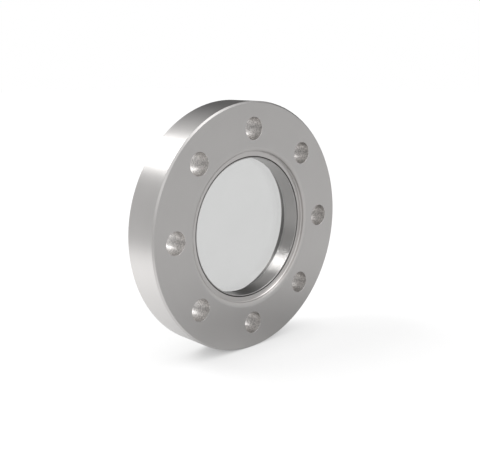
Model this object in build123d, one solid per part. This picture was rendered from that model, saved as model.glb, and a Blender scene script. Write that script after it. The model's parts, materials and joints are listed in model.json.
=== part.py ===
from build123d import *
import math
import os

# Vacuum viewport: a window disc fused into an alloy ring, carried by a thin sleeve that is
# welded into the bore of an eight-hole knife-edge flange.
# Lengths are in millimetres. The axis lies along Y, with +Z up.
# The origin is the centre of the rim face on the vacuum side, the face that meets the port.
# The air side, which people look at, faces -Y.

# Bolt pattern
BOLT_COUNT = 8
BOLT_CIRCLE = 92.1
BOLT_HOLE_DIAMETER = 10.4
HOLE_TO_RIM = 7.1
HOLE_TO_GASKET_RECESS = 0.35

# Flange body
FLANGE_THICKNESS = 17.5
FACE_CHAMFER = 0.75
RIM_EDGE_BREAK = 0.3

# Vacuum side of the flange: gasket recess and knife edge
GASKET_RECESS_DEPTH = 1.25
GASKET_CHANNEL_WIDTH = 2.6
KNIFE_SETBACK = 0.65
KNIFE_CONE_WIDTH = 1.5
KNIFE_CONE_ANGLE = 20.0
INNER_LAND_WIDTH = 1.5
LEAK_GROOVE_WIDTH = 3.2
LEAK_GROOVE_DEPTH = 1.2
LEAK_GROOVE_COUNT = 2

# Ring that holds the glass
RING_CLEARANCE = 0.8
RING_WALL = 1.7
RING_SETBACK = 5.6
RING_COLLAR = 0.3
RING_SOCKET_DEPTH = 1.65
RING_EDGE_BREAK = 0.25

# Window
GLASS_INSET = 0.15
GLASS_THICKNESS = 2.4

# Sleeve between the ring and the flange
SLEEVE_WALL = 0.45
SLEEVE_LIP_INSET = 0.2
SLEEVE_EDGE_BREAK = 0.12
BRAZE_LEG = 0.6

# Weld between the sleeve and the flange
WELD_WIDTH = 0.45
WELD_INSET = 0.35
WELD_DEPTH = 1.6
RELIEF_LEAD = 0.9

# Stepped recess round the bore on the air side, with a rolled outer edge
RECESS_FLOOR_WIDTH = 2.5
RECESS_WALL_HEIGHT = 1.5
RECESS_CORNER = 0.35
ROLLED_EDGE_WIDTH = 1.95
ROLLED_EDGE_DEPTH = 0.85
ROLLED_EDGE_FIRST_SLOPE = 10.0

# Radii, worked inwards from the bolt circle
bolt_circle_radius = BOLT_CIRCLE / 2
bolt_hole_radius = BOLT_HOLE_DIAMETER / 2
flange_radius = bolt_circle_radius + bolt_hole_radius + HOLE_TO_RIM
gasket_recess_radius = bolt_circle_radius - bolt_hole_radius - HOLE_TO_GASKET_RECESS
knife_radius = gasket_recess_radius - GASKET_CHANNEL_WIDTH
land_radius = knife_radius - KNIFE_CONE_WIDTH
relief_radius = land_radius - INNER_LAND_WIDTH
ring_radius = relief_radius - RING_CLEARANCE
view_radius = ring_radius - RING_WALL
sleeve_radius = view_radius + SLEEVE_WALL
weld_bore_radius = sleeve_radius + WELD_WIDTH
recess_radius = weld_bore_radius + RECESS_FLOOR_WIDTH
rolled_edge_radius = recess_radius + ROLLED_EDGE_WIDTH

# Places along the axis, from the rim face (y = 0) towards the air side
air_face_y = -FLANGE_THICKNESS
land_y = -KNIFE_SETBACK - KNIFE_CONE_WIDTH * math.tan(math.radians(KNIFE_CONE_ANGLE))
ring_back_y = -RING_SETBACK
glass_back_y = ring_back_y - GLASS_INSET
glass_front_y = glass_back_y - GLASS_THICKNESS
ring_shoulder_y = glass_front_y - RING_COLLAR
ring_front_y = ring_shoulder_y - RING_SOCKET_DEPTH
recess_wall_y = air_face_y + ROLLED_EDGE_DEPTH
recess_floor_y = recess_wall_y + RECESS_WALL_HEIGHT
sleeve_front_y = recess_floor_y + SLEEVE_LIP_INSET
weld_front_y = sleeve_front_y + WELD_INSET
weld_back_y = weld_front_y + WELD_DEPTH
relief_front_y = ring_front_y - RELIEF_LEAD


def turned(points):
    """Turn a closed outline of (radius, y) points about the Y axis."""
    with BuildPart() as piece:
        with BuildSketch(Plane.XY):
            with BuildLine():
                Polyline(*points, close=True)
            make_face()
        revolve(axis=Axis.Y)
    return piece.part


def flange_blank():
    """The turned flange before drilling, with the rolled edge of its air-side recess."""
    relief_step = relief_radius - weld_bore_radius
    rolled_edge_start = (rolled_edge_radius, air_face_y)
    rolled_edge_end = (recess_radius, recess_wall_y)
    first_slope = math.radians(ROLLED_EDGE_FIRST_SLOPE)
    first_direction = (-math.cos(first_slope), math.sin(first_slope))
    with BuildPart() as piece:
        with BuildSketch(Plane.XY):
            with BuildLine():
                TangentArc(rolled_edge_start, rolled_edge_end, tangent=first_direction)
                Polyline(
                    rolled_edge_end,
                    (recess_radius, recess_floor_y - RECESS_CORNER),
                    (recess_radius - RECESS_CORNER, recess_floor_y),
                    (weld_bore_radius, recess_floor_y),
                    (weld_bore_radius, relief_front_y - relief_step),
                    (relief_radius, relief_front_y),
                    (relief_radius, land_y),
                    (land_radius, land_y),
                    (knife_radius, -KNIFE_SETBACK),
                    (knife_radius, -GASKET_RECESS_DEPTH),
                    (gasket_recess_radius, -GASKET_RECESS_DEPTH),
                    (gasket_recess_radius, 0),
                    (flange_radius - RIM_EDGE_BREAK, 0),
                    (flange_radius, -RIM_EDGE_BREAK),
                    (flange_radius, air_face_y + FACE_CHAMFER),
                    (flange_radius - FACE_CHAMFER, air_face_y),
                    rolled_edge_start,
                )
            make_face()
        revolve(axis=Axis.Y)
    return piece.part


def flange():
    """Bolting flange, turned and drilled from one blank."""
    rim_width = flange_radius - gasket_recess_radius
    groove_angle = 1.5 * 360 / BOLT_COUNT
    with BuildPart() as piece:
        add(flange_blank())
        with BuildSketch(Plane.XZ):
            with PolarLocations(bolt_circle_radius, BOLT_COUNT):
                Circle(bolt_hole_radius)
        extrude(amount=FLANGE_THICKNESS, mode=Mode.SUBTRACT)
        # Radial grooves across the rim let test gas reach the gasket
        with BuildSketch(Plane.XZ):
            with PolarLocations(gasket_recess_radius + rim_width / 2, LEAK_GROOVE_COUNT, groove_angle):
                Rectangle(2 * rim_width, LEAK_GROOVE_WIDTH)
            Circle(gasket_recess_radius, mode=Mode.SUBTRACT)
        extrude(amount=LEAK_GROOVE_DEPTH, mode=Mode.SUBTRACT)
    return piece.part


def sleeve():
    """Thin stainless tube from the weld at the air side to the ring round the glass."""
    return turned([
        (view_radius, sleeve_front_y + SLEEVE_EDGE_BREAK),
        (view_radius + SLEEVE_EDGE_BREAK, sleeve_front_y),
        (sleeve_radius, sleeve_front_y),
        (sleeve_radius, ring_shoulder_y),
        (view_radius, ring_shoulder_y),
    ])


def sleeve_weld():
    """Weld seam that fills the gap between the sleeve and the flange bore, a little below the lip."""
    return turned([
        (sleeve_radius, weld_front_y),
        (weld_bore_radius, weld_front_y),
        (weld_bore_radius, weld_back_y),
        (sleeve_radius, weld_back_y),
    ])


def glass_ring():
    """Alloy ring, matched to the glass, with a socket where the sleeve's end sits."""
    return turned([
        (sleeve_radius, ring_front_y),
        (ring_radius - RING_EDGE_BREAK, ring_front_y),
        (ring_radius, ring_front_y + RING_EDGE_BREAK),
        (ring_radius, ring_back_y - RING_EDGE_BREAK),
        (ring_radius - RING_EDGE_BREAK, ring_back_y),
        (view_radius, ring_back_y),
        (view_radius, ring_shoulder_y),
        (sleeve_radius, ring_shoulder_y),
    ])


def ring_braze():
    """Fillet of braze in the corner between the sleeve and the front of the ring."""
    return turned([
        (sleeve_radius, ring_front_y - BRAZE_LEG),
        (sleeve_radius + BRAZE_LEG, ring_front_y),
        (sleeve_radius, ring_front_y),
    ])


def window_glass():
    """Flat window disc, fused to the ring all round its edge."""
    return turned([
        (0, glass_front_y),
        (view_radius, glass_front_y),
        (view_radius, glass_back_y),
        (0, glass_back_y),
    ])


pieces = {
    "flange": flange(),
    "sleeve": sleeve(),
    "sleeve_weld": sleeve_weld(),
    "glass_ring": glass_ring(),
    "ring_braze": ring_braze(),
    "window_glass": window_glass(),
}

os.makedirs("parts", exist_ok=True)
for name, solid in pieces.items():
    export_step(solid, f"parts/{name}.step")
    print(name, round(solid.volume, 1), "mm3")
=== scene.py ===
# %% [markdown]
# # A vacuum viewport, from its turned outline to its finish
# The object is a window for a vacuum chamber. A steel flange carries a thin sleeve, the sleeve
# carries a metal ring, and a glass disc is fused into that ring. Every piece came off a lathe, and
# only the bolt holes and two grooves were cut afterwards. So this lesson draws half outlines and
# turns them about the axis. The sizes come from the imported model, and only what it can't tell is
# written here, in millimetres.

# %% Load the frame
import math
import json

import bpy
import bmesh
from mathutils import Euler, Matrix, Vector


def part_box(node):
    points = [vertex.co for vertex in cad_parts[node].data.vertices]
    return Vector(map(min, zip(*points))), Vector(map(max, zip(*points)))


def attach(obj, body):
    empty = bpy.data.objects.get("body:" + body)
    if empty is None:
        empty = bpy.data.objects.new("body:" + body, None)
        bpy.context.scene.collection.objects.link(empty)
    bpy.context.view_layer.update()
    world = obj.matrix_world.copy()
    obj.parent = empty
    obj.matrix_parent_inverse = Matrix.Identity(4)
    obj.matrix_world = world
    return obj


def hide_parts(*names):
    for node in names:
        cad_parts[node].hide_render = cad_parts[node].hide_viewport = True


MM = 0.001
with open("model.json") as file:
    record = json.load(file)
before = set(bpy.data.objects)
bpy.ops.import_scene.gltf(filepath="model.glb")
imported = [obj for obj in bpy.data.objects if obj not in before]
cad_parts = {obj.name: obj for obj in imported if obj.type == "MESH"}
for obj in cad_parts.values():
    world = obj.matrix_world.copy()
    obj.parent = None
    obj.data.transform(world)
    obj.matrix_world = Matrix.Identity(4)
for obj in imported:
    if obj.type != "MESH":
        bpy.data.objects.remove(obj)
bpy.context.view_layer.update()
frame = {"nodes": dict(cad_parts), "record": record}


def in_mm(lengths):
    """Lengths in millimetres, rounded for printing."""
    return [round(length / MM, 2) for length in lengths]


for node_name in sorted(frame["nodes"]):
    low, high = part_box(node_name)
    print(node_name, "from", in_mm(low), "to", in_mm(high), "mm")

# %% [markdown]
# ## Camera
# The photograph looks at the air side from its left and a little above, with a moderate lens. The
# camera is placed by three angles and a distance from the centre of the air face, because a reader
# can change those one at a time. Two small offsets put the object where it sits in the frame.

# %% Place the camera
CAMERA_AZIMUTH = -43.669
CAMERA_ELEVATION = 11.896
CAMERA_ROLL = 0.056
CAMERA_DISTANCE = 339.85 * MM
CAMERA_RIGHT = -6.305 * MM
CAMERA_UP = 1.404 * MM
CAMERA_LENS = 54.817
SENSOR_WIDTH = 36.0
NEAREST_SEEN = 0.01
FARTHEST_SEEN = 50

flange_low, flange_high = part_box("flange")
thickness = -flange_low.y
rim_radius = flange_high.x
air_face_centre = Vector((0, -thickness, 0))


def place_camera():
    """Make the scene's camera at the photograph's viewing angle."""
    data = bpy.data.cameras.new("camera")
    data.lens = CAMERA_LENS
    data.sensor_fit = "HORIZONTAL"
    data.sensor_width = SENSOR_WIDTH
    data.clip_start = NEAREST_SEEN
    data.clip_end = FARTHEST_SEEN
    camera = bpy.data.objects.new("camera", data)
    bpy.context.scene.collection.objects.link(camera)
    tilt = math.radians(90 - CAMERA_ELEVATION)
    turn = Euler((tilt, 0, math.radians(CAMERA_AZIMUTH)), "XYZ").to_matrix()
    roll = Euler((0, 0, math.radians(CAMERA_ROLL)), "XYZ").to_matrix()
    right, up, back = turn.col[0], turn.col[1], turn.col[2]
    place = air_face_centre + back * CAMERA_DISTANCE + right * CAMERA_RIGHT + up * CAMERA_UP
    camera.matrix_world = (turn @ roll).to_4x4()
    camera.location = place
    bpy.context.scene.camera = camera
    return camera


camera = place_camera()
bpy.context.scene.view_settings.view_transform = "Standard"
print("camera at", in_mm(camera.location), "mm")

# %% [markdown]
# ## Shader arithmetic
# A finish is a small sum: so much lathe line, so much grain. Node editors hide sums in webs of boxes,
# so this class wraps one output socket and lets Python's own signs add the Math nodes.

# %% Write shader sums as expressions
class Wire:
    """One output socket of a node tree. Arithmetic on it adds Math nodes."""

    def __init__(self, tree, socket=None):
        self.tree = tree
        self.socket = socket

    def node(self, kind, settings=None, values=None, output=0):
        """Add any node: its settings first, then the values or links of its sockets."""
        made = self.tree.nodes.new(kind)
        for name, setting in (settings or {}).items():
            setattr(made, name, setting)
        for name, value in (values or {}).items():
            if isinstance(value, Wire):
                self.tree.links.new(value.socket, made.inputs[name])
            else:
                made.inputs[name].default_value = value
        return Wire(self.tree, made.outputs[output] if len(made.outputs) else None)

    def sibling(self, output):
        """Another output of the same node."""
        return Wire(self.tree, self.socket.node.outputs[output])

    def math(self, operation, first, second=0.0):
        """One Math node."""
        return self.node("ShaderNodeMath", {"operation": operation}, {0: first, 1: second})

    def __add__(self, other):
        return self.math("ADD", self, other)

    def __radd__(self, other):
        return self.math("ADD", other, self)

    def __sub__(self, other):
        return self.math("SUBTRACT", self, other)

    def __rsub__(self, other):
        return self.math("SUBTRACT", other, self)

    def __mul__(self, other):
        return self.math("MULTIPLY", self, other)

    def __rmul__(self, other):
        return self.math("MULTIPLY", other, self)

    def root(self):
        return self.math("SQRT", self)

    def limited(self, low, high):
        """1 above high, 0 below low, and a smooth step between."""
        return self.node("ShaderNodeMapRange", {"interpolation_type": "SMOOTHSTEP"},
                         {"Value": self, "From Min": low, "From Max": high})

    def blend(self, first, second):
        """Colour first where this is 0, second where it is 1."""
        return self.node("ShaderNodeMix", {"data_type": "RGBA"}, {0: self, 6: first, 7: second}, 2)


def new_finish(name):
    """An empty material and a Wire to start its tree."""
    finish = bpy.data.materials.new(name)
    finish.use_nodes = True
    finish.node_tree.nodes.clear()
    return finish, Wire(finish.node_tree)


print("signs that add Math nodes: + - *")

# %% [markdown]
# ## Floor
# The picture has a white sweep that keeps a soft shadow. The floor is an ordinary matt surface, and
# its share of plain white is added only for the rays that look at it: from the camera, off the metal
# and through the glass. So the background is white without any more light on the object. Round the
# foot of the flange that white fades: painted shade, darker where the floor meets what stands on it.
# The metal sees less of the white than the camera does, with painted pools of light, and one pool of
# painted shade, that only the metal sees.

# %% Lay the floor
FLOOR_SIZE = 8.0
FLOOR_ALBEDO = 0.3
FLOOR_WHITE = 0.714
MIRRORED_WHITE = 0.348
WHITE = (1, 1, 1, 1)
# Painted shade round the foot of the flange: how far it reaches and how fast it fades
NEAR_SHADE_REACH = 22 * MM
NEAR_SHADE_POWER = 0.24
# Painted pools of light, and one of painted shade, that only the metal sees. Each is a centre on the
# floor and a radius, in metres, and how much white it adds; a negative one takes white away
PAINTED_POOLS = (
    (Vector((-0.12, 0.075)), 0.20, 0.72),
    (Vector((-0.13, -0.09)), 0.11, 0.28),
    (Vector((0.03, -0.04)), 0.10, -0.15),
    (Vector((0.06, 0.12)), 0.135, 1.00),
)


def added_white(start):
    """How much white each looking ray meets, with painted pools and shade. Light on matt things meets
    none.
    """
    path = start.node("ShaderNodeLightPath")
    place = start.node("ShaderNodeTexCoord", None, None, "Object")
    x = start.node("ShaderNodeSeparateXYZ", None, {0: place}, "X")
    y = x.sibling("Y")
    mirrored_white = MIRRORED_WHITE
    # Painted pools of light, and one of painted shade, on the white that only the metal sees
    for centre, radius, white in PAINTED_POOLS:
        right = x - centre.x
        back = y - centre.y
        away = (right * right + back * back).root()
        mirrored_white = mirrored_white + (1 - away.limited(0.0, radius)) * white
    straight = path.sibling("Is Camera Ray") + path.sibling("Is Transmission Ray")
    direct = start.math("MINIMUM", straight, 1.0)
    mirrored = path.sibling("Is Glossy Ray") * (1 - direct)
    # Painted shade: the floor's white fades close under the flange
    open_share = start.node("ShaderNodeAmbientOcclusion", None, {"Distance": NEAR_SHADE_REACH}, "AO")
    near_shade = start.math("POWER", open_share, NEAR_SHADE_POWER)
    return near_shade * (direct * FLOOR_WHITE + mirrored * mirrored_white)


def lay_floor():
    """A matt floor under the flange's lowest point."""
    half = FLOOR_SIZE / 2
    level = -rim_radius
    mesh = bpy.data.meshes.new("floor")
    sides = [(-half, -half), (half, -half), (half, half), (-half, half)]
    mesh.from_pydata([(x, y, level) for x, y in sides], [], [(0, 1, 2, 3)])
    floor = bpy.data.objects.new("floor", mesh)
    bpy.context.scene.collection.objects.link(floor)
    finish, start = new_finish("floor_white")
    grey = (FLOOR_ALBEDO, FLOOR_ALBEDO, FLOOR_ALBEDO, 1)
    matt = start.node("ShaderNodeBsdfDiffuse", None, {"Color": grey})
    white = start.node("ShaderNodeEmission", None, {"Color": WHITE, "Strength": added_white(start)})
    both = start.node("ShaderNodeAddShader", None, {0: matt, 1: white})
    start.node("ShaderNodeOutputMaterial", None, {"Surface": both})
    mesh.materials.append(finish)


lay_floor()
print("floor at", round(-rim_radius / MM, 2), "mm")

# %% [markdown]
# ## Light
# Bare metal shows the room it stands in, so the light decides how it looks. A large soft lamp hangs
# behind and to the left, and the metal mirrors it. A far round lamp, higher up, lights the floor and
# shapes the shadow there. The metal doesn't mirror that one, so each lamp can be set on its own.

# %% Hang the lamps
SOFTBOX_DIRECTION = Vector((-0.260, 0.729, 0.633))
SOFTBOX_SIZE = 0.42
SOFTBOX_LEVEL = 4.7
HIGH_LAMP_DIRECTION = Vector((-0.464, 0.433, 0.773))
HIGH_LAMP_ANGLE = 25.0
HIGH_LAMP_POWER = 1.35
LAMP_DISTANCE = 1.3


def hang_lamp(data, direction):
    """Hang a lamp in a direction from the object, pointing at it."""
    lamp = bpy.data.objects.new(data.name, data)
    bpy.context.scene.collection.objects.link(lamp)
    direction = direction.normalized()
    lamp.location = direction * LAMP_DISTANCE
    lamp.rotation_euler = direction.to_track_quat("Z", "Y").to_euler()
    lamp.visible_camera = False
    print(lamp.name, "at", [round(v, 2) for v in lamp.location], "m, power", round(data.energy, 2))
    return lamp


def softbox():
    """A square lamp whose face glows at SOFTBOX_LEVEL, where 1 is white."""
    data = bpy.data.lights.new("softbox", "AREA")
    data.shape = "SQUARE"
    data.size = SOFTBOX_SIZE
    data.energy = SOFTBOX_LEVEL * math.pi * SOFTBOX_SIZE ** 2
    hang_lamp(data, SOFTBOX_DIRECTION)


def high_lamp():
    """A far round lamp that shapes the floor's shadow, and that the metal doesn't mirror."""
    data = bpy.data.lights.new("high_lamp", "SUN")
    data.angle = math.radians(HIGH_LAMP_ANGLE)
    data.energy = HIGH_LAMP_POWER
    lamp = hang_lamp(data, HIGH_LAMP_DIRECTION)
    lamp.visible_glossy = False


softbox()
high_lamp()

# %% [markdown]
# The rest of the room is a plain function of direction: an even level, a dim patch at the far right, a
# slightly dim one in front, and two light ones higher up, which the chamfer and the rolled edge catch.
# The camera sees white in its place, and so do rays through the glass up to just above the horizon.
# Patches blend smoothly, because a hard edge in the room would show as a line on every turned face.

# %% Paint the room
ROOM_LEVEL = 0.69
# The fade in depth below the horizon. Both are negative, so it lies a little above the horizon
HORIZON_FADE = (-0.09, -0.05)
# Each patch is a direction, a level, and its outer and inner angle in degrees
PATCHES = (
    (Vector((0.78, 0.54, 0.29)), 0.08, (48, 12)),
    (Vector((0.45, -0.85, 0.20)), 0.60, (44, 18)),
    (Vector((-0.50, -0.66, 0.56)), 1.1, (36, 12)),
    (Vector((0.16, -0.53, 0.83)), 2.5, (23, 8)),
)


def light_room():
    """The world: white to the camera, and a room of lighter and darker parts to the metal."""
    world = bpy.data.worlds.new("room")
    bpy.context.scene.world = world
    world.use_nodes = True
    tree = world.node_tree
    tree.nodes.clear()
    start = Wire(tree)
    path = start.node("ShaderNodeLightPath")
    direction = start.node("ShaderNodeTexCoord", None, None, "Generated")

    def patch(towards, angles):
        """1 near a direction, 0 away from it."""
        aim = tuple(towards.normalized())
        near = start.node(
            "ShaderNodeVectorMath", {"operation": "DOT_PRODUCT"}, {0: direction, 1: aim}, "Value")
        outer, inner = (math.cos(math.radians(angle)) for angle in angles)
        return near.limited(outer, inner)

    room = ROOM_LEVEL
    for towards, level, angles in PATCHES:
        room = room + patch(towards, angles) * (level - room)
    height = start.node("ShaderNodeSeparateXYZ", None, {0: direction}, "Z")
    below = (0 - height).limited(*HORIZON_FADE)
    through = path.sibling("Is Transmission Ray") * below
    seen = path.sibling("Is Camera Ray")
    white = seen + through - seen * through
    level = room + white * (1 - room)
    sky = start.node("ShaderNodeBackground", None, {"Color": WHITE, "Strength": level})
    start.node("ShaderNodeOutputWorld", None, {"Surface": sky})


light_room()
print("room level", ROOM_LEVEL, "with patches", [level for _, level, _ in PATCHES])

# %% [markdown]
# ## Finishes
# Turned steel isn't one grey. The lathe leaves fine rings, the stock has a slight grain, and handling
# leaves faint clouds. The rings are driven by the distance from the axis and the place along it, so
# they run round the piece whichever way its surface faces. Grain and clouds just fill the space. All
# metals differ only in colour and in how strong these are, so one recipe serves for every piece.

# %% Write the recipe for turned metal
PER_METRE = 1 / MM
LATHE_PITCH = 0.16
# A slow change of the rings round the piece, so no ring is the same all the way
RING_DRIFT = 4.0
CLOUD_SIZE = 22.0
GRAIN_SIZE = 0.45
ROUGHNESS_LEAST = 0.86
ROUGHNESS_SPREAD = 0.28
# Shares of clouds, rings and grain in the tone, and the part of their sum that is used
TONE_SHARES = (0.5, 0.25, 0.25)
TONE_LIMITS = (0.25, 0.75)


def shade(colour, by):
    """A colour made lighter or darker by a factor."""
    return tuple(min(1.0, channel * by) for channel in colour) + (1.0,)


def noise(start, vector, scale, detail):
    """Soft noise between 0 and 1."""
    return start.node("ShaderNodeTexNoise", None, {
        "Vector": vector, "Scale": scale, "Detail": detail}, "Fac")


def turned_metal(name, colour, roughness, ring_depth, grain_depth, variation, zones=(),
                 shares=TONE_SHARES, limits=TONE_LIMITS, grain_size=GRAIN_SIZE):
    """Bare metal off a lathe: rings, grain and faint clouds. Zones of it may have other colours."""
    finish, start = new_finish(name)
    place = start.node("ShaderNodeTexCoord", None, None, "Object")
    x = start.node("ShaderNodeSeparateXYZ", None, {0: place}, "X")
    along = x.sibling("Y")
    z = x.sibling("Z")
    out = (x * x + z * z).root()
    lines = PER_METRE / LATHE_PITCH
    on_lathe = start.node("ShaderNodeCombineXYZ", None, {
        "X": out * lines, "Y": along * lines, "Z": (x + z) * RING_DRIFT})
    rings = noise(start, on_lathe, scale=1.0, detail=2.0)
    grain = noise(start, place, scale=PER_METRE / grain_size, detail=1.0)
    clouds = noise(start, place, scale=PER_METRE / CLOUD_SIZE, detail=3.0)
    tone = (clouds * shares[0] + rings * shares[1] + grain * shares[2]).limited(*limits)

    def toned(plain):
        """A colour that varies with the tone."""
        return tone.blend(shade(plain, 1 - variation), shade(plain, 1 + variation))

    base = toned(colour)
    for zone, zone_colour in zones:
        base = zone(out, along).blend(base, toned(zone_colour))
    rough = roughness * (ROUGHNESS_LEAST + ROUGHNESS_SPREAD * (0.5 * grain + 0.5 * clouds))
    height = rings * (ring_depth * MM) + grain * (grain_depth * MM)
    bump = start.node("ShaderNodeBump", None, {"Strength": 1.0, "Distance": 1.0, "Height": height})
    metal = start.node("ShaderNodeBsdfPrincipled", None, {
        "Base Color": base, "Metallic": 1.0, "Roughness": rough, "Normal": bump})
    start.node("ShaderNodeOutputMaterial", None, {"Surface": metal})
    return finish


print("a lathe line every", LATHE_PITCH, "mm")

# %% [markdown]
# The flange isn't one colour all over. The recess and the rolled edge are painted a little lighter
# than the faces: painted light that lifts the shade in those hollows. The wall of the relief round the
# ring is painted dark: painted shade in the hollow behind the ring. Each zone is a function of the
# distance out and the place along the axis.

# %% Mark the zones of the flange
# Out from the axis
CUT_RADIUS = 40.6
CUT_FADE = 0.2
RELIEF_RADII = (34.2, 34.5, 35.1, 35.4)
# Along the axis: down from the air face, and from the rim face of the vacuum side
CUT_DEPTHS = (0.02, 0.4)
RELIEF_PLACES = (-11.2, -10.8, -1.7, -1.3)


def between(value, edges):
    """1 between the two middle edges, 0 outside the outer ones, in millimetres."""
    rise = value.limited(edges[0] * MM, edges[1] * MM)
    return rise * (1 - value.limited(edges[2] * MM, edges[3] * MM))


def painted_light_cuts(out, along):
    """1 on the inner cuts, which get painted light: inside the gasket circle and below the air face."""
    deep = (along + thickness).limited(CUT_DEPTHS[0] * MM, CUT_DEPTHS[1] * MM)
    return deep * (1 - out.limited(CUT_RADIUS * MM, (CUT_RADIUS + CUT_FADE) * MM))


def painted_relief_shade(out, along):
    """1 on the wall of the relief round the ring, where shade is painted."""
    return between(out, RELIEF_RADII) * between(along, RELIEF_PLACES)


# The lighter inner cuts are painted light, and the dark relief is painted shade
print("finer cuts inside", CUT_RADIUS, "mm, dark relief at", RELIEF_RADII[1:3], "mm")

# %% [markdown]
# Now each metal is one call. Flange and sleeve are stainless steel, the ring is the alloy that suits
# the glass, the weld is nearly black, and the braze is pale brass.

# %% Mix the metals
FLANGE_COLOUR = (0.573, 0.560, 0.551)
# Painted light: a lighter copy of the flange colour that lifts the shade in the recess
PAINTED_LIGHT_CUT_COLOUR = (0.625, 0.607, 0.595)
# Painted shade in the hollow of the relief behind the ring
RELIEF_PAINTED_SHADE = (0.17, 0.166, 0.163)
SLEEVE_COLOUR = (0.461, 0.450, 0.443)
SEAL_COLOUR = (0.45, 0.44, 0.434)
WELD_COLOUR = (0.05, 0.048, 0.046)
BRAZE_COLOUR = (0.72, 0.60, 0.38)
flange_finish = turned_metal(
    "turned_steel", FLANGE_COLOUR, roughness=0.32, ring_depth=0.0008, grain_depth=0.004,
    variation=0.03, zones=((painted_light_cuts, PAINTED_LIGHT_CUT_COLOUR), (painted_relief_shade, RELIEF_PAINTED_SHADE)))
sleeve_finish = turned_metal(
    "bored_steel", SLEEVE_COLOUR, roughness=0.31, ring_depth=0.0003, grain_depth=0.003, variation=0.02)
seal_finish = turned_metal(
    "sealing_alloy", SEAL_COLOUR, roughness=0.31, ring_depth=0.0005, grain_depth=0.003, variation=0.04)
weld_finish = turned_metal(
    "weld_metal", WELD_COLOUR, roughness=0.42, ring_depth=0.001, grain_depth=0.002, variation=0.2)
braze_finish = turned_metal(
    "braze_metal", BRAZE_COLOUR, roughness=0.3, ring_depth=0.0005, grain_depth=0.001, variation=0.08)
metals = (flange_finish, sleeve_finish, seal_finish, weld_finish, braze_finish)
print("metals:", [metal.name for metal in metals])

# %% [markdown]
# The window is a thin, flat disc of clear glass. Its two surfaces mirror a little of the light, and
# the glass itself takes some, evenly over the colours. A Principled shader with full transmission does
# both, and its base colour holds the tint.

# %% Melt the glass
GLASS_COLOUR = (0.585, 0.588, 0.585)
GLASS_INDEX = 1.5
SMEAR_SIZE = 14.0
SMEAR_LIMITS = (0.35, 0.7)
SMEAR_SHADE = 0.985


def window_finish():
    """Clear polished glass with a faint neutral tint and the lightest smear."""
    finish, start = new_finish("window_glass")
    place = start.node("ShaderNodeTexCoord", None, None, "Object")
    smear = noise(start, place, scale=PER_METRE / SMEAR_SIZE, detail=2.0).limited(*SMEAR_LIMITS)
    base = smear.blend(shade(GLASS_COLOUR, 1.0), shade(GLASS_COLOUR, SMEAR_SHADE))
    glass = start.node("ShaderNodeBsdfPrincipled", None, {
        "Base Color": base, "Roughness": 0.0, "IOR": GLASS_INDEX, "Transmission Weight": 1.0})
    start.node("ShaderNodeOutputMaterial", None, {"Surface": glass})
    return finish


glass_finish = window_finish()
print("glass tint", GLASS_COLOUR)

# %% [markdown]
# ## Turning
# A lathe makes any shape whose section stays the same all the way round. In Blender that is a profile
# swept along a circle, so one Geometry Nodes tree turns every piece here. Its input mesh is the
# outline as a chain of points, each its distance out from the path and its place along the axis.

# %% Build the turning tree
PATH_RADIUS = 40.0 * MM
MERGE_DISTANCE = 1e-7


def turning_tree():
    """Sweep an outline round the Y axis, close its poles and paint it."""
    tree = bpy.data.node_groups.new("turned_piece", "GeometryNodeTree")
    sockets = tree.interface
    sockets.new_socket("Outline", in_out="INPUT", socket_type="NodeSocketGeometry")
    inputs = {
        "Segments": sockets.new_socket("Segments", in_out="INPUT", socket_type="NodeSocketInt"),
        "Finish": sockets.new_socket("Finish", in_out="INPUT", socket_type="NodeSocketMaterial"),
    }
    sockets.new_socket("Piece", in_out="OUTPUT", socket_type="NodeSocketGeometry")
    start = Wire(tree)
    outline = start.node("NodeGroupInput", None, None, "Outline")
    section = start.node("GeometryNodeMeshToCurve", None, {"Mesh": outline})
    path = start.node("GeometryNodeCurvePrimitiveCircle", {"mode": "RADIUS"}, {
        "Resolution": outline.sibling("Segments"), "Radius": PATH_RADIUS})
    swept = start.node("GeometryNodeCurveToMesh", None, {"Curve": path, "Profile Curve": section})
    upright = start.node("GeometryNodeTransform", None, {
        "Geometry": swept, "Rotation": (math.radians(90), 0, 0)})
    closed = start.node("GeometryNodeMergeByDistance", None, {
        "Geometry": upright, "Distance": MERGE_DISTANCE})
    real = start.node("GeometryNodeRealizeInstances", None, {"Geometry": closed})
    painted = start.node("GeometryNodeSetMaterial", None, {
        "Geometry": real, "Material": outline.sibling("Finish")})
    start.node("NodeGroupOutput", None, {"Piece": painted})
    return tree, {name: item.identifier for name, item in inputs.items()}


turn_tree, turn_inputs = turning_tree()
print("turning tree has", len(turn_tree.nodes), "nodes")

# %% [markdown]
# The tree's result is kept as a plain mesh. Its normals are recalculated after the doubles are merged,
# and edges that turn by more than a small angle are marked sharp, so that the faces round the axis
# shade as one curve while each corner of the outline stays crisp.

# %% Turn an outline into a piece
TURN_SEGMENTS = 480
SHARP_ANGLE = 9.0


def plain_mesh(piece, sharp_angle=SHARP_ANGLE):
    """Keep what the live modifiers make as the piece's own mesh."""
    graph = bpy.context.evaluated_depsgraph_get()
    mesh = bpy.data.meshes.new_from_object(piece.evaluated_get(graph))
    piece.modifiers.clear()
    piece.data = mesh
    work = bmesh.new()
    work.from_mesh(mesh)
    bmesh.ops.remove_doubles(work, verts=work.verts, dist=MERGE_DISTANCE)
    bmesh.ops.recalc_face_normals(work, faces=work.faces)
    work.to_mesh(mesh)
    work.free()
    mesh.polygons.foreach_set("use_smooth", [True] * len(mesh.polygons))
    mesh.set_sharp_from_angle(angle=math.radians(sharp_angle))
    mesh.name = piece.name
    return piece


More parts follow.
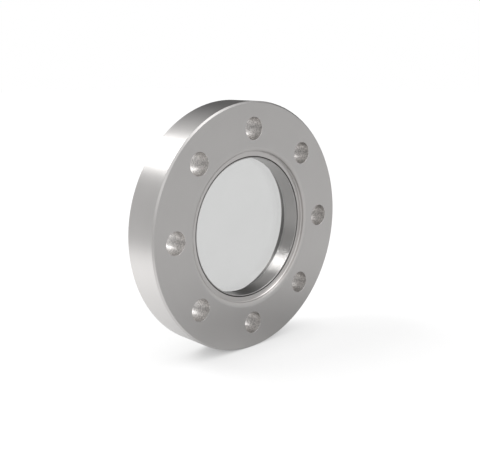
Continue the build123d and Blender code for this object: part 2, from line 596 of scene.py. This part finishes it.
def chain_object(name, points, closed):
    """An object whose mesh is an outline of (radius, y) points, given in millimetres."""
    count = len(points)
    edges = [(i, (i + 1) % count) for i in range(count if closed else count - 1)]
    mesh = bpy.data.meshes.new(name)
    mesh.from_pydata([(r * MM - PATH_RADIUS, y * MM, 0) for r, y in points], edges, [])
    made = bpy.data.objects.new(name, mesh)
    bpy.context.scene.collection.objects.link(made)
    return made


def turned(name, points, finish, closed=True, segments=TURN_SEGMENTS):
    """Turn an outline about the Y axis. An outline that isn't closed starts and ends on the axis."""
    piece = chain_object(name, points, closed)
    turning = piece.modifiers.new("turning", "NODES")
    turning.node_group = turn_tree
    turning[turn_inputs["Segments"]] = segments
    turning[turn_inputs["Finish"]] = finish
    plain_mesh(piece)
    print(name, len(piece.data.polygons), "faces")
    return piece


print("one turn has", TURN_SEGMENTS, "steps")

# %% [markdown]
# Nothing leaves a lathe with a perfectly sharp edge: the maker breaks each corner with a file or a
# light cut. The outlines below give each corner as radius, place and break, and this helper puts a
# small arc in each corner that has one.

# %% Break the corners of an outline
ARC_STEP = 24.0
LEAST_TURN = 1.0


def broken(corners):
    """Outline points with a small arc at each corner given as (radius, y, break)."""
    points = []
    for i, (r, y, size) in enumerate(corners):
        here = Vector((r, y))
        before = (Vector(corners[i - 1][:2]) - here).normalized()
        after = (Vector(corners[(i + 1) % len(corners)][:2]) - here).normalized()
        turn = math.pi - before.angle(after)
        if size == 0 or turn < math.radians(LEAST_TURN):
            points.append((r, y))
            continue
        reach = size * math.tan(turn / 2)
        middle = here + (before + after).normalized() * math.hypot(size, reach)
        first = (here + before * reach - middle).normalized()
        last = (here + after * reach - middle).normalized()
        steps = max(2, math.ceil(math.degrees(turn) / ARC_STEP))
        for step in range(steps + 1):
            spoke = first.slerp(last, step / steps)
            points.append(tuple(middle + spoke * size))
    return points


square = [(0, 0, 0), (1, 0, 0.1), (1, 1, 0), (0, 1, 0)]
print("a square corner becomes", len(broken(square)) - 3, "points")

# %% [markdown]
# ## Flange
# The flange is the piece that people see most: a thick ring, a rim with a chamfer towards the air
# side, a rolled edge that leads into a stepped recess, and on the hidden side the knife edge that bites
# into a copper gasket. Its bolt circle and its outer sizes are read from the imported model.

# %% Read the flange's sizes
mounts = {mount["name"]: mount for mount in frame["record"]["mounts"]}
pattern = mounts["port_bolts"]["dims"]
bolt_count = pattern["count"]
bolt_circle = pattern["pcd_mm"] / 2
hole_radius = pattern["hole_r_mm"]
rim = rim_radius / MM
air_y = -thickness / MM
# Edges and the air side
EDGE_BREAK = 0.08
FACE_CHAMFER = 0.75
RIM_EDGE_BREAK = 0.3
ROLLED_EDGE_WIDTH = 1.95
ROLLED_EDGE_DEPTH = 0.85
ROLLED_EDGE_FIRST_SLOPE = 10.0
ROLLED_EDGE_STEPS = 12
FACE_MARGIN = 0.4
RECESS_FLOOR_WIDTH = 2.5
RECESS_WALL_HEIGHT = 1.5
RECESS_CORNER = 0.35
# Vacuum side
HOLE_TO_GASKET_RECESS = 0.35
GASKET_RECESS_DEPTH = 1.25
GASKET_CHANNEL_WIDTH = 2.6
KNIFE_SETBACK = 0.65
KNIFE_CONE_WIDTH = 1.5
KNIFE_CONE_ANGLE = 20.0
INNER_LAND_WIDTH = 1.5
RELIEF_LEAD = 0.9
# Radii and places that follow
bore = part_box("sleeve_weld")[1].x / MM
gasket_recess = bolt_circle - hole_radius - HOLE_TO_GASKET_RECESS
knife = gasket_recess - GASKET_CHANNEL_WIDTH
land = knife - KNIFE_CONE_WIDTH
relief = land - INNER_LAND_WIDTH
land_y = -KNIFE_SETBACK - KNIFE_CONE_WIDTH * math.tan(math.radians(KNIFE_CONE_ANGLE))
relief_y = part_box("glass_ring")[0].y / MM - RELIEF_LEAD
recess = bore + RECESS_FLOOR_WIDTH
recess_wall_y = air_y + ROLLED_EDGE_DEPTH
recess_floor_y = recess_wall_y + RECESS_WALL_HEIGHT
print("radii:", {"rim": round(rim, 2), "bore": round(bore, 2), "recess": round(recess, 2)})

# %% [markdown]
# The half outline goes once round the section: over the rolled edge into the recess, along the bore to
# the knife edge, and back over the rim. Each arc point of the rolled edge is worked out, because the
# light on that edge is what shows its shape.

# %% Draw the flange's outline
def rolled_edge():
    """Points of the arc that leaves the air face at a slight slope and ends at the recess wall."""
    chord = math.hypot(ROLLED_EDGE_WIDTH, ROLLED_EDGE_DEPTH)
    first = math.radians(ROLLED_EDGE_FIRST_SLOPE)
    half_turn = math.atan2(ROLLED_EDGE_DEPTH, ROLLED_EDGE_WIDTH) - first
    arc_radius = chord / (2 * math.sin(half_turn))
    start = recess + ROLLED_EDGE_WIDTH
    points = []
    for step in range(ROLLED_EDGE_STEPS + 1):
        slope = first + 2 * half_turn * step / ROLLED_EDGE_STEPS
        out = start - arc_radius * (math.sin(slope) - math.sin(first))
        points.append((out, air_y + arc_radius * (math.cos(first) - math.cos(slope)), 0))
    return points


flange_corners = rolled_edge() + [
    (recess, recess_floor_y - RECESS_CORNER, 0),
    (recess - RECESS_CORNER, recess_floor_y, 0),
    (bore, recess_floor_y, EDGE_BREAK),
    (bore, relief_y - (relief - bore), EDGE_BREAK),
    (relief, relief_y, EDGE_BREAK),
    (relief, land_y, EDGE_BREAK),
    (land, land_y, EDGE_BREAK),
    (knife, -KNIFE_SETBACK, 0),
    (knife, -GASKET_RECESS_DEPTH, EDGE_BREAK),
    (gasket_recess, -GASKET_RECESS_DEPTH, EDGE_BREAK),
    (gasket_recess, 0, EDGE_BREAK),
    (rim - RIM_EDGE_BREAK, 0, EDGE_BREAK),
    (rim, -RIM_EDGE_BREAK, EDGE_BREAK),
    (rim, air_y + FACE_CHAMFER, EDGE_BREAK),
    (rim - FACE_CHAMFER, air_y, EDGE_BREAK),
    (rim - FACE_CHAMFER - FACE_MARGIN, air_y, 0),
    (recess + ROLLED_EDGE_WIDTH + FACE_MARGIN, air_y, 0),
]
flange = turned("flange_turned", broken(flange_corners), flange_finish)

# %% [markdown]
# ## Drilling
# Eight holes on one circle are one cutter repeated, and so are the two grooves that let test gas reach
# the gasket. A second tree repeats whatever cutter it is given round the axis. The drill is turned
# like any other piece, with flared ends that break the edges of the holes.

# %% Build the tree that repeats a cutter
def ring_tree():
    """Repeat a cutter round the Y axis at one radius."""
    tree = bpy.data.node_groups.new("ring_of_cutters", "GeometryNodeTree")
    sockets = tree.interface
    sockets.new_socket("Cutter", in_out="INPUT", socket_type="NodeSocketGeometry")
    inputs = {
        "Count": sockets.new_socket("Count", in_out="INPUT", socket_type="NodeSocketInt"),
        "Circle radius": sockets.new_socket(
            "Circle radius", in_out="INPUT", socket_type="NodeSocketFloat"),
        "First angle": sockets.new_socket("First angle", in_out="INPUT", socket_type="NodeSocketFloat"),
        "Finish": sockets.new_socket("Finish", in_out="INPUT", socket_type="NodeSocketMaterial"),
    }
    sockets.new_socket("Ring", in_out="OUTPUT", socket_type="NodeSocketGeometry")
    start = Wire(tree)
    cutter = start.node("NodeGroupInput", None, None, "Cutter")
    count = cutter.sibling("Count")
    shift = start.node("ShaderNodeCombineXYZ", None, {"X": cutter.sibling("Circle radius")})
    placed = start.node("GeometryNodeTransform", None, {"Geometry": cutter, "Translation": shift})
    spots = start.node("GeometryNodeMeshLine", None, {"Count": count, "Offset": (0, 0, 0)})
    index = start.node("GeometryNodeInputIndex")
    angle = cutter.sibling("First angle") + index * start.math("DIVIDE", 2 * math.pi, count)
    turn = start.node("ShaderNodeCombineXYZ", None, {"Y": 0 - angle})
    ring = start.node("GeometryNodeInstanceOnPoints", None, {
        "Points": spots, "Instance": placed, "Rotation": turn})
    real = start.node("GeometryNodeRealizeInstances", None, {"Geometry": ring})
    painted = start.node("GeometryNodeSetMaterial", None, {
        "Geometry": real, "Material": cutter.sibling("Finish")})
    start.node("NodeGroupOutput", None, {"Ring": painted})
    return tree, {name: item.identifier for name, item in inputs.items()}


cutter_tree, cutter_inputs = ring_tree()
print("cutter tree has", len(cutter_tree.nodes), "nodes")

# %% [markdown]
# A drill leaves a rougher wall than a lathe does, with a sandy look, so the holes get a finish of their
# own, painted lighter than the faces: painted light that lifts the shade inside them. The grooves are
# milled and keep the flange's finish.

# %% Make the drills and the groove cutters
DRILL_SEGMENTS = 96
HOLE_EDGE_BREAK = 0.06
CUTTER_REACH = 1.0
GROOVE_COUNT = 2
GROOVE_WIDTH = 3.2
GROOVE_DEPTH = 1.2
# In spacings of the holes, so each groove lies midway between two of them
GROOVE_PLACE = 1.5
# Painted light: lighter than the flange colour, to lift the shade inside the holes
DRILLED_PAINTED_LIGHT_COLOUR = (0.72, 0.702, 0.688)
SANDY_SHARES = (0.1, 0.1, 0.8)
SANDY_LIMITS = (0.38, 0.62)
SANDY_GRAIN_SIZE = 0.8
drilled_finish = turned_metal(
    "drilled_steel", DRILLED_PAINTED_LIGHT_COLOUR, roughness=0.44, ring_depth=0.004, grain_depth=0.038,
    variation=0.20, shares=SANDY_SHARES, limits=SANDY_LIMITS, grain_size=SANDY_GRAIN_SIZE)


def repeat(cutter, count, circle_radius, first_angle, finish):
    """Repeat a cutter and keep the result as its plain mesh."""
    ring = cutter.modifiers.new("ring", "NODES")
    ring.node_group = cutter_tree
    ring[cutter_inputs["Count"]] = count
    ring[cutter_inputs["Circle radius"]] = circle_radius * MM
    ring[cutter_inputs["First angle"]] = math.radians(first_angle)
    ring[cutter_inputs["Finish"]] = finish
    return plain_mesh(cutter)


def drills():
    """The ring of drills that makes the bolt holes."""
    flare = HOLE_EDGE_BREAK + CUTTER_REACH
    outline = [
        (0, air_y - CUTTER_REACH),
        (hole_radius + flare, air_y - CUTTER_REACH),
        (hole_radius, air_y + HOLE_EDGE_BREAK),
        (hole_radius, -HOLE_EDGE_BREAK),
        (hole_radius + flare, CUTTER_REACH),
        (0, CUTTER_REACH),
    ]
    drill = turned("drills", outline, drilled_finish, closed=False, segments=DRILL_SEGMENTS)
    return repeat(drill, bolt_count, bolt_circle, 0, drilled_finish)


def groove_cutters():
    """Two blocks that mill the leak-check grooves across the rim of the vacuum side."""
    inner = gasket_recess - HOLE_TO_GASKET_RECESS
    length = rim + CUTTER_REACH - inner
    work = bmesh.new()
    bmesh.ops.create_cube(work, size=1.0)
    size = Vector((length, GROOVE_DEPTH + CUTTER_REACH, GROOVE_WIDTH)) * MM
    bmesh.ops.scale(work, vec=size, verts=work.verts)
    bmesh.ops.translate(work, vec=(0, (CUTTER_REACH - GROOVE_DEPTH) / 2 * MM, 0), verts=work.verts)
    mesh = bpy.data.meshes.new("groove_cutters")
    work.to_mesh(mesh)
    work.free()
    block = bpy.data.objects.new("groove_cutters", mesh)
    bpy.context.scene.collection.objects.link(block)
    first = GROOVE_PLACE * 360 / bolt_count
    return repeat(block, GROOVE_COUNT, inner + length / 2, first, flange_finish)


drill_ring = drills()
groove_ring = groove_cutters()
print("cutters:", bolt_count, "drills and", GROOVE_COUNT, "blocks")

# %% [markdown]
# The cut is exact, so the holes stay round and the faces round them stay flat, and each wall takes the
# finish of the cutter that made it. Nothing of a cutter stays in the scene.

# %% Cut the holes and the grooves
def cut(piece, cutter, name):
    """Take a cutter away from a piece, and the cutter out of the scene."""
    away = piece.modifiers.new(name, "BOOLEAN")
    away.operation = "DIFFERENCE"
    away.solver = "EXACT"
    away.material_mode = "TRANSFER"
    away.object = cutter
    plain_mesh(piece)
    bpy.data.objects.remove(cutter)


cut(flange, drill_ring, "drilling")
cut(flange, groove_ring, "milling")
print("flange has", len(flange.data.polygons), "faces and", len(flange.data.materials), "finishes")

# %% [markdown]
# ## Sleeve, ring and braze
# The sleeve is a thin tube, welded at its air end and brazed into the ring at the other. Its smooth
# inner wall is what shows between the recess and the glass. The ring is an alloy that shrinks at the
# same rate as the glass, and the braze fills the corner between the two.

# %% Turn the sleeve, the ring and the braze
SLEEVE_EDGE_BREAK = 0.12
RING_EDGE_BREAK = 0.25
TUBE_BREAK = 0.04
sleeve_low, sleeve_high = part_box("sleeve")
ring_low, ring_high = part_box("glass_ring")
braze_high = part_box("ring_braze")[1]
glass_low, glass_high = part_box("window_glass")
view = glass_high.x / MM
tube = sleeve_high.x / MM
ring_out = ring_high.x / MM
shoulder_y = sleeve_high.y / MM
ring_front_y = ring_low.y / MM
ring_back_y = ring_high.y / MM
sleeve = turned("sleeve_tube", broken([
    (view, sleeve_low.y / MM + SLEEVE_EDGE_BREAK, TUBE_BREAK),
    (view + SLEEVE_EDGE_BREAK, sleeve_low.y / MM, TUBE_BREAK),
    (tube, sleeve_low.y / MM, TUBE_BREAK),
    (tube, shoulder_y, 0),
    (view, shoulder_y, 0),
]), sleeve_finish)
seal_ring = turned("seal_ring", broken([
    (tube, ring_front_y, TUBE_BREAK),
    (ring_out - RING_EDGE_BREAK, ring_front_y, TUBE_BREAK),
    (ring_out, ring_front_y + RING_EDGE_BREAK, TUBE_BREAK),
    (ring_out, ring_back_y - RING_EDGE_BREAK, TUBE_BREAK),
    (ring_out - RING_EDGE_BREAK, ring_back_y, TUBE_BREAK),
    (view, ring_back_y, TUBE_BREAK),
    (view, shoulder_y, 0),
    (tube, shoulder_y, 0),
]), seal_finish)
braze_leg = braze_high.x / MM - tube
braze = turned("braze_fillet", broken([
    (tube, ring_front_y - braze_leg, 0),
    (tube + braze_leg, ring_front_y, 0),
    (tube, ring_front_y, 0),
]), braze_finish)

# %% [markdown]
# ## Weld
# The weld that closes the gap round the sleeve is a chain of small overlapping pools, so its face is
# hollow and rippled. The hollow is in the outline, and a third tree raises the ripples along the seam.

# %% Build the tree that ripples a seam
def ripple_tree():
    """Raise ripples on the front of a seam that runs round the Y axis."""
    tree = bpy.data.node_groups.new("weld_ripples", "GeometryNodeTree")
    sockets = tree.interface
    sockets.new_socket("Seam", in_out="INPUT", socket_type="NodeSocketGeometry")
    inputs = {
        "Ripples": sockets.new_socket("Ripples", in_out="INPUT", socket_type="NodeSocketFloat"),
        "Height": sockets.new_socket("Height", in_out="INPUT", socket_type="NodeSocketFloat"),
        "Front": sockets.new_socket("Front", in_out="INPUT", socket_type="NodeSocketFloat"),
        "Finish": sockets.new_socket("Finish", in_out="INPUT", socket_type="NodeSocketMaterial"),
    }
    sockets.new_socket("Rippled", in_out="OUTPUT", socket_type="NodeSocketGeometry")
    start = Wire(tree)
    seam = start.node("NodeGroupInput", None, None, "Seam")
    place = start.node("GeometryNodeInputPosition")
    x = start.node("ShaderNodeSeparateXYZ", None, {0: place}, "X")
    angle = start.math("ARCTAN2", x.sibling("Z"), x)
    # Without its sign a sine has two humps for each wave, so the angle counts half
    wave = start.math("ABSOLUTE", start.math("SINE", angle * seam.sibling("Ripples") * 0.5))
    on_front = start.math("LESS_THAN", x.sibling("Y"), seam.sibling("Front"))
    rise = wave * seam.sibling("Height") * on_front
    offset = start.node("ShaderNodeCombineXYZ", None, {"Y": 0 - rise})
    raised = start.node("GeometryNodeSetPosition", None, {"Geometry": seam, "Offset": offset})
    real = start.node("GeometryNodeRealizeInstances", None, {"Geometry": raised})
    painted = start.node("GeometryNodeSetMaterial", None, {
        "Geometry": real, "Material": seam.sibling("Finish")})
    start.node("NodeGroupOutput", None, {"Rippled": painted})
    return tree, {name: item.identifier for name, item in inputs.items()}


weld_tree, weld_inputs = ripple_tree()
print("weld tree has", len(weld_tree.nodes), "nodes")

# %% [markdown]
# The ripples need more steps round the axis than the other pieces do, several to each pool. The front
# of the outline starts one ripple's height inside the solid's, so the crests just reach its face.

# %% Lay the weld
WELD_HOLLOW = 0.09
WELD_HOLLOW_STEPS = 6
RIPPLE_COUNT = 360
RIPPLE_HEIGHT = 0.035
WELD_SEGMENTS = 1440
WELD_SHARP_ANGLE = 40


def weld_outline():
    """The seam's section, with a hollow front."""
    weld_low, weld_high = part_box("sleeve_weld")
    front = weld_low.y / MM
    back = weld_high.y / MM
    points = [(bore, back), (tube, back)]
    for step in range(WELD_HOLLOW_STEPS + 1):
        share = step / WELD_HOLLOW_STEPS
        sag = WELD_HOLLOW * 4 * share * (1 - share)
        points.append((tube + (bore - tube) * share, front + RIPPLE_HEIGHT + sag))
    return points, front


weld_points, weld_front = weld_outline()
behind_front = weld_front + 2 * WELD_HOLLOW + RIPPLE_HEIGHT
weld = turned("weld_seam", weld_points, weld_finish, segments=WELD_SEGMENTS)
ripples = weld.modifiers.new("ripples", "NODES")
ripples.node_group = weld_tree
ripples[weld_inputs["Ripples"]] = RIPPLE_COUNT
ripples[weld_inputs["Height"]] = RIPPLE_HEIGHT * MM
ripples[weld_inputs["Front"]] = behind_front * MM
ripples[weld_inputs["Finish"]] = weld_finish
plain_mesh(weld, sharp_angle=WELD_SHARP_ANGLE)
print("weld has", len(weld.data.polygons), "faces")

# %% [markdown]
# ## Window
# The disc is fused to the ring, so there is no gap between them. Its edge reaches a hair into the
# ring's wall: a ray inside the glass then meets the metal, and never two surfaces in one place.

# %% Turn the window
FUSED_DEPTH = 0.02
window = turned("window_disc", [
    (0, glass_low.y / MM),
    (view + FUSED_DEPTH, glass_low.y / MM),
    (view + FUSED_DEPTH, glass_high.y / MM),
    (0, glass_high.y / MM),
], glass_finish, closed=False)

# %% [markdown]
# ## Pieces on the body
# Each piece stands for the solid of the same form and rides on the only body.

# %% Tie the pieces to the frame
pieces = [
    (flange, "flange", "stainless_flange"),
    (sleeve, "sleeve", "stainless_sleeve"),
    (weld, "sleeve_weld", "weld_seam"),
    (seal_ring, "glass_ring", "glass_sealing_alloy"),
    (braze, "ring_braze", "braze"),
    (window, "window_glass", "window_glass"),
]
for piece, node_name, slot_name in pieces:
    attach(piece, "root")
    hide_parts(node_name)
